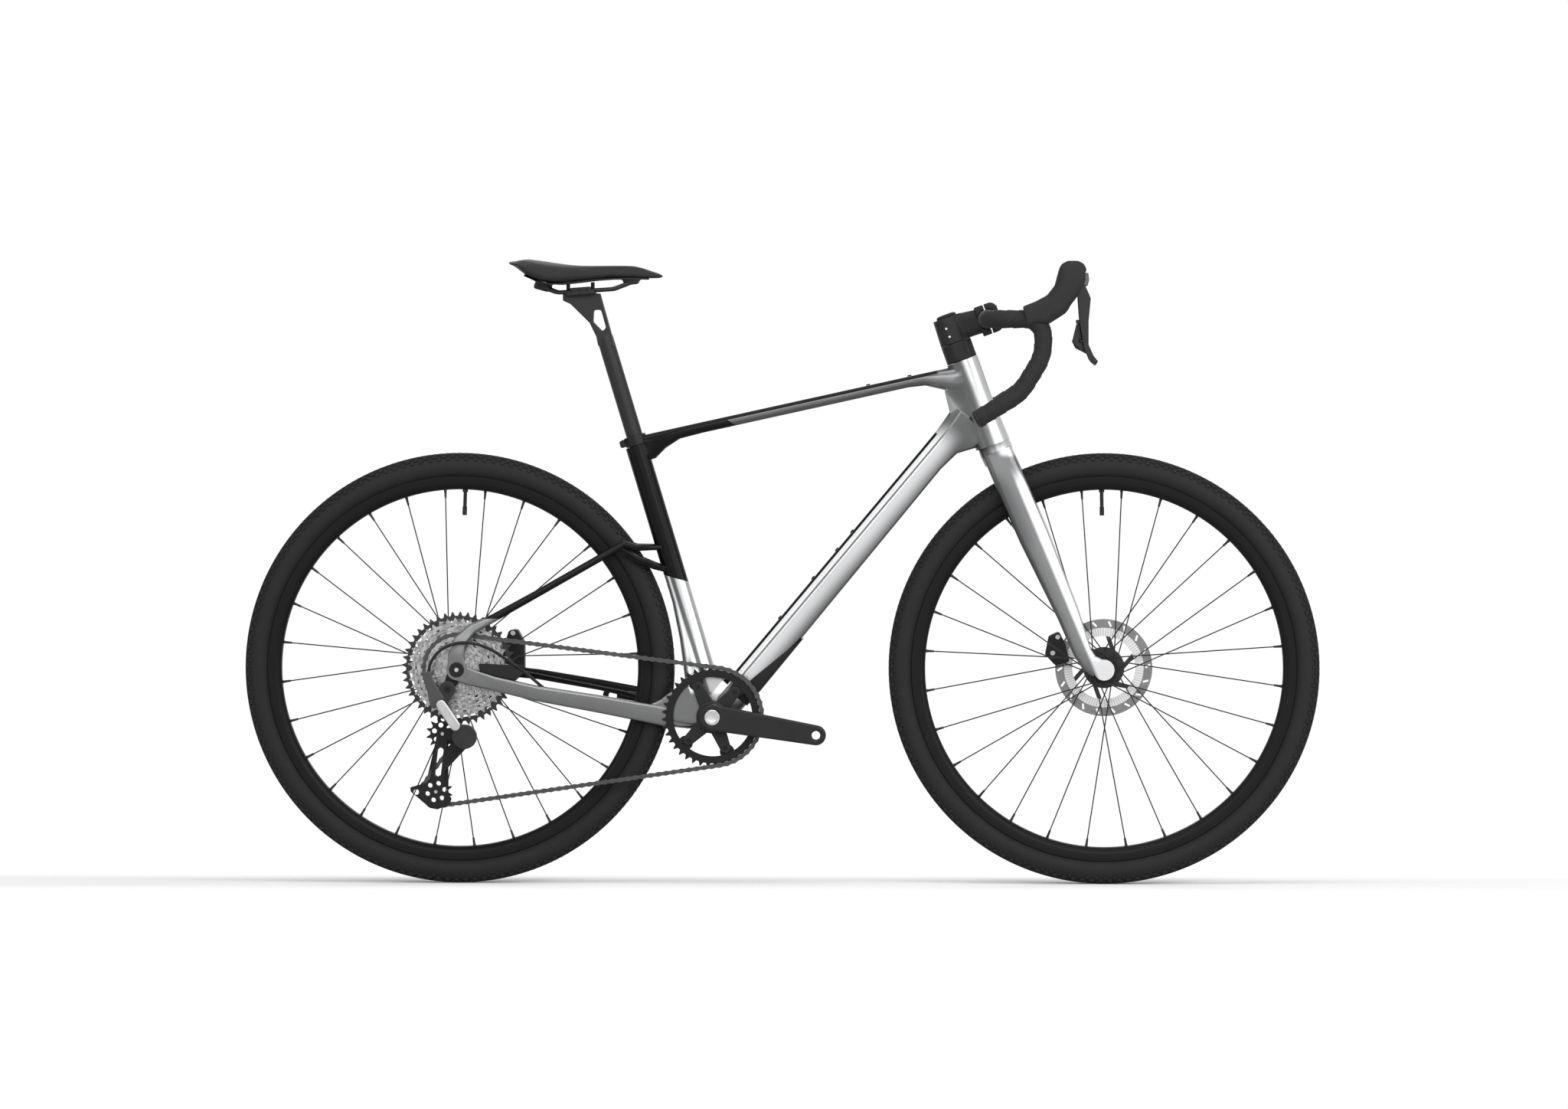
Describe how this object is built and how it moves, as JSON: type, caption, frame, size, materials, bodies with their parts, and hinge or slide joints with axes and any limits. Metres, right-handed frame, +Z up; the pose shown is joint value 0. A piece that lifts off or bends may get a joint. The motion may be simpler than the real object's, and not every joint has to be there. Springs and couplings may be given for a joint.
{
  "type": "gravel bike",
  "caption": "Gravel bike with a sloping moulded frame, flared drop bar, disc brakes, knobbed tyres and a single chainring driving a wide cassette.",
  "frame": {"origin": "on the ground, halfway between the two axles, in the middle plane", "axes": "+X forward, +Y to the rider's left, +Z up"},
  "size_m": [1.768, 0.4784, 1.0277],
  "materials": {
    "frame_paint": "satin silver fading to black",
    "black_satin": "satin black",
    "tyre": "matt tread rubber",
    "rubber": "matt moulded rubber",
    "tape": "matt wrapped tape",
    "saddle": "matt padded cover",
    "plastic": "matt black",
    "alloy_black": "black anodised",
    "alloy": "silver",
    "steel": "brushed",
    "dark_steel": "dark plated"
  },
  "bodies": {
    "frame": {"frame": "frame_paint", "seat_collar": "alloy_black", "downtube_guard": "plastic", "chainstay_guard": "rubber", "derailleur_hanger": "alloy_black", "bottom_bracket": "alloy_black", "headset_bearings": "steel", "rear_axle": "alloy_black", "rear_caliper": "alloy_black", "rear_brake_pads": "dark_steel", "shift_housing": "rubber", "derailleur_body": "alloy_black", "derailleur_links": "alloy", "derailleur_knuckle": "alloy_black", "chain": "steel"},
    "seat": {"seatpost": "black_satin", "saddle_clamp": "alloy_black", "saddle_rails": "dark_steel", "saddle_shell": "plastic", "saddle_cover": "saddle"},
    "steering": {"fork": "frame_paint", "headset_spacers": "plastic", "stem": "alloy_black", "stem_faceplate": "alloy_black", "top_cap": "alloy_black", "handlebar": "black_satin", "bar_tape": "tape", "bar_end_plugs": "plastic", "lever_brackets": "plastic", "lever_hoods": "rubber", "front_axle": "alloy_black", "front_caliper": "alloy_black", "front_brake_pads": "dark_steel"},
    "right_lever": {"brake_lever_right": "alloy_black"},
    "left_lever": {"brake_lever_left": "alloy_black"},
    "paddle": {"shift_paddle": "plastic"},
    "front_wheel": {"front_tyre": "tyre", "front_rim": "alloy_black", "front_spokes": "dark_steel", "front_hub": "alloy_black", "front_rotor": "steel", "front_valve": "alloy_black"},
    "rear_wheel": {"rear_tyre": "tyre", "rear_rim": "alloy_black", "rear_spokes": "dark_steel", "rear_hub": "alloy_black", "rear_rotor": "steel", "rear_valve": "alloy_black"},
    "cassette": {"cassette": "steel", "freehub_body": "alloy_black"},
    "crank": {"crank_arm_right": "alloy_black", "crank_arm_left": "alloy_black", "chainring": "alloy_black"},
    "cage": {"derailleur_cage": "alloy_black"},
    "guide": {"guide_pulley": "plastic"},
    "tension": {"tension_pulley": "plastic"}
  },
  "joints": [
    {"name": "steering", "type": "hinge", "parent": "frame", "child": "steering", "pos_m": [0.34723, 0, 0.72166], "axis": [-0.342, 0, 0.9397], "range_deg": [-60, 60]},
    {"name": "front_wheel_spin", "type": "hinge", "parent": "steering", "child": "front_wheel", "pos_m": [0.53, 0, 0.354], "axis": [0, 1, 0], "continuous": true},
    {"name": "rear_wheel_spin", "type": "hinge", "parent": "frame", "child": "rear_wheel", "pos_m": [-0.53, 0, 0.354], "axis": [0, 1, 0], "continuous": true},
    {"name": "crank_spin", "type": "hinge", "parent": "frame", "child": "crank", "pos_m": [-0.11151, 0, 0.276], "axis": [0, 1, 0], "continuous": true, "deforming": ["chain"]},
    {"name": "cassette_spin", "type": "hinge", "parent": "frame", "child": "cassette", "pos_m": [-0.53, 0, 0.354], "axis": [0, 1, 0], "continuous": true},
    {"name": "cage_swing", "type": "hinge", "parent": "frame", "child": "cage", "pos_m": [-0.5161, 0, 0.2448], "axis": [0, 1, 0], "range_deg": [-30, 0], "stiffness_Nm_per_rad": 0.8, "springref_deg": 28.65},
    {"name": "guide_pulley_spin", "type": "hinge", "parent": "cage", "child": "guide", "pos_m": [-0.55566, 0, 0.24758], "axis": [0, 1, 0], "continuous": true},
    {"name": "tension_pulley_spin", "type": "hinge", "parent": "cage", "child": "tension", "pos_m": [-0.56643, 0, 0.15219], "axis": [0, 1, 0], "continuous": true},
    {"name": "right_lever_pull", "type": "hinge", "parent": "steering", "child": "right_lever", "pos_m": [0.48662, -0.208, 0.98814], "axis": [0, 1, 0], "range_deg": [0, 15], "stiffness_Nm_per_rad": 0.6, "springref_deg": -20.05},
    {"name": "left_lever_pull", "type": "hinge", "parent": "steering", "child": "left_lever", "pos_m": [0.48662, 0.208, 0.98814], "axis": [0, 1, 0], "range_deg": [0, 15], "stiffness_Nm_per_rad": 0.6, "springref_deg": -20.05},
    {"name": "shift_paddle_push", "type": "hinge", "parent": "right_lever", "child": "paddle", "pos_m": [0.48632, -0.208, 0.92014], "axis": [0.1772, 0, -0.9842], "range_deg": [0, 10], "stiffness_Nm_per_rad": 0.05, "springref_deg": -17.19},
    {"name": "seatpost_slide", "type": "slide", "parent": "frame", "child": "seat", "axis": [-0.289, 0, 0.9573], "range_m": [-0.1, 0.03]}
  ],
  "couplings": [
    {"joint": "cassette_spin", "follows": "crank_spin", "ratio": 1.4286},
    {"joint": "guide_pulley_spin", "follows": "crank_spin", "ratio": -3.3333},
    {"joint": "tension_pulley_spin", "follows": "crank_spin", "ratio": 3.3333}
  ]
}
